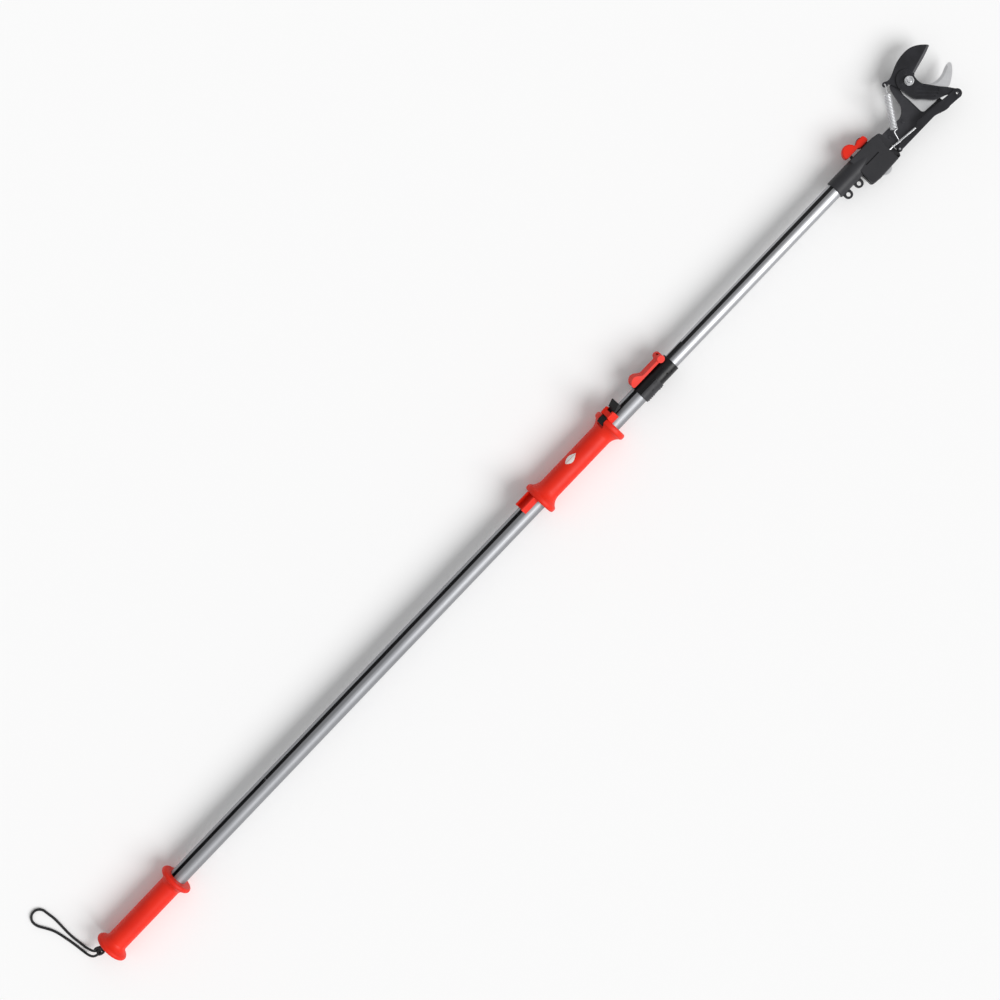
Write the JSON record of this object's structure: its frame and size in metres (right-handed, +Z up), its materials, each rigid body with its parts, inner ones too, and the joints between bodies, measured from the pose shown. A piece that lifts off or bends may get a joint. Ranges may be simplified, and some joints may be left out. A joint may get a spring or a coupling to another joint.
{
  "type": "telescopic long-reach pruner",
  "caption": "Long-reach bypass pruner on a telescopic pole: a sliding grip pulls a strap that closes the spring-loaded blade.",
  "frame": {"origin": "on the ground under the middle of the tool's bounding box, without the wrist cord", "axes": "+X along the pole from the bottom grip to the cutting head, +Y towards the side of the red flip levers and the blade's back, +Z up from the ground the tool lies on"},
  "size_m": [1.9092, 0.1677, 0.0596],
  "materials": {
    "red_plastic": "satin moulded",
    "black_plastic": "fine textured",
    "deep_black_plastic": "smooth",
    "natural_nylon": "natural",
    "lower_aluminium": "satin anodised",
    "upper_aluminium": "bright anodised",
    "strap": "woven tape",
    "cord": "braided",
    "black_blade": "black anti-stick coating",
    "grey_frame": "dark grey coating",
    "bright_steel": "ground",
    "zinc_steel": "zinc plated"
  },
  "bodies": {
    "lower_pole": {"lower_tube": "lower_aluminium", "bottom_grip": "red_plastic", "end_plug": "deep_black_plastic", "wrist_cord": "cord", "cord_knot": "cord", "clamp_body": "deep_black_plastic", "clamp_cover": "black_plastic", "clamp_screws": "zinc_steel", "clamp_collet": "natural_nylon", "groove_guide": "deep_black_plastic", "clamp_lever_pin": "zinc_steel"},
    "sliding_grip": {"middle_grip": "red_plastic", "slide_channel": "red_plastic", "grip_key": "zinc_steel", "rocker_pin": "zinc_steel"},
    "rocker": {"strap_rocker": "deep_black_plastic"},
    "clamp_flip_lever": {"clamp_lever": "red_plastic"},
    "upper_pole": {"upper_tube": "upper_aluminium", "tube_plug": "deep_black_plastic", "pull_strap": "strap", "head_socket": "black_plastic", "housing_back": "black_plastic", "housing_cover": "black_plastic", "housing_screws": "zinc_steel", "housing_lever_pin": "zinc_steel", "pulley_axle": "zinc_steel", "head_frame": "grey_frame", "counter_blade": "bright_steel", "counter_rivet": "bright_steel", "frame_rivets": "grey_frame", "spring_rod": "bright_steel", "pivot_bolt": "bright_steel", "pivot_washer": "bright_steel", "pivot_nut": "bright_steel", "return_spring": "bright_steel"},
    "housing_flip_lever": {"housing_lever": "red_plastic"},
    "guide_wheel": {"guide_pulley": "bright_steel"},
    "blade": {"cutting_blade": "black_blade", "blade_arm": "black_blade", "arm_rivets": "black_blade"},
    "bar": {"pull_bar": "black_blade", "arm_pin": "black_blade", "bar_wheel_pin": "zinc_steel"},
    "strap_wheel": {"bar_wheel": "deep_black_plastic"}
  },
  "joints": [
    {"name": "pole_extend", "type": "slide", "parent": "lower_pole", "child": "upper_pole", "axis": [1, 0, 0], "range_m": [-0.305, 0.55]},
    {"name": "grip_slide", "type": "slide", "parent": "lower_pole", "child": "sliding_grip", "axis": [1, 0, 0], "range_m": [-0.145, 0], "stiffness_N_per_m": 100, "springref_m": 0.1},
    {"name": "rocker_tilt", "type": "hinge", "parent": "sliding_grip", "child": "rocker", "pos_m": [0.1989, -0.00109, 0.04429], "axis": [0, 0.8192, -0.5736], "range_deg": [0, 14]},
    {"name": "clamp_lever_flip", "type": "hinge", "parent": "lower_pole", "child": "clamp_flip_lever", "pos_m": [0.3129, 0.00525, 0.03712], "axis": [0, 0.4695, -0.8829], "range_deg": [0, 110]},
    {"name": "housing_lever_flip", "type": "hinge", "parent": "upper_pole", "child": "housing_flip_lever", "pos_m": [0.7479, 0.00785, 0.0275], "axis": [0, 0, 1], "range_deg": [-110, 0]},
    {"name": "blade_pivot", "type": "hinge", "parent": "upper_pole", "child": "blade", "pos_m": [0.8591, 0.01955, 0.0275], "axis": [0, 0, 1], "range_deg": [-60.01, 0], "deforming": ["return_spring"]},
    {"name": "bar_pivot", "type": "hinge", "parent": "blade", "child": "bar", "pos_m": [0.8939, -0.04385, 0.0275], "axis": [0, 0, 1], "range_deg": [0, 57.6]},
    {"name": "guide_pulley_spin", "type": "hinge", "parent": "upper_pole", "child": "guide_wheel", "pos_m": [0.7449, -0.04285, 0.0275], "axis": [0, 0, 1], "range_deg": [-980, 0]},
    {"name": "bar_wheel_spin", "type": "hinge", "parent": "bar", "child": "strap_wheel", "pos_m": [0.7783, -0.04, 0.0275], "axis": [0, 0, 1], "range_deg": [-990, 0]}
  ],
  "couplings": [
    {"joint": "blade_pivot", "follows": "grip_slide", "rad_per_m": 7.222},
    {"joint": "bar_pivot", "follows": "grip_slide", "rad_per_m": -6.9187},
    {"joint": "guide_pulley_spin", "follows": "grip_slide", "rad_per_m": 117.6},
    {"joint": "bar_wheel_spin", "follows": "grip_slide", "rad_per_m": 118.7}
  ]
}
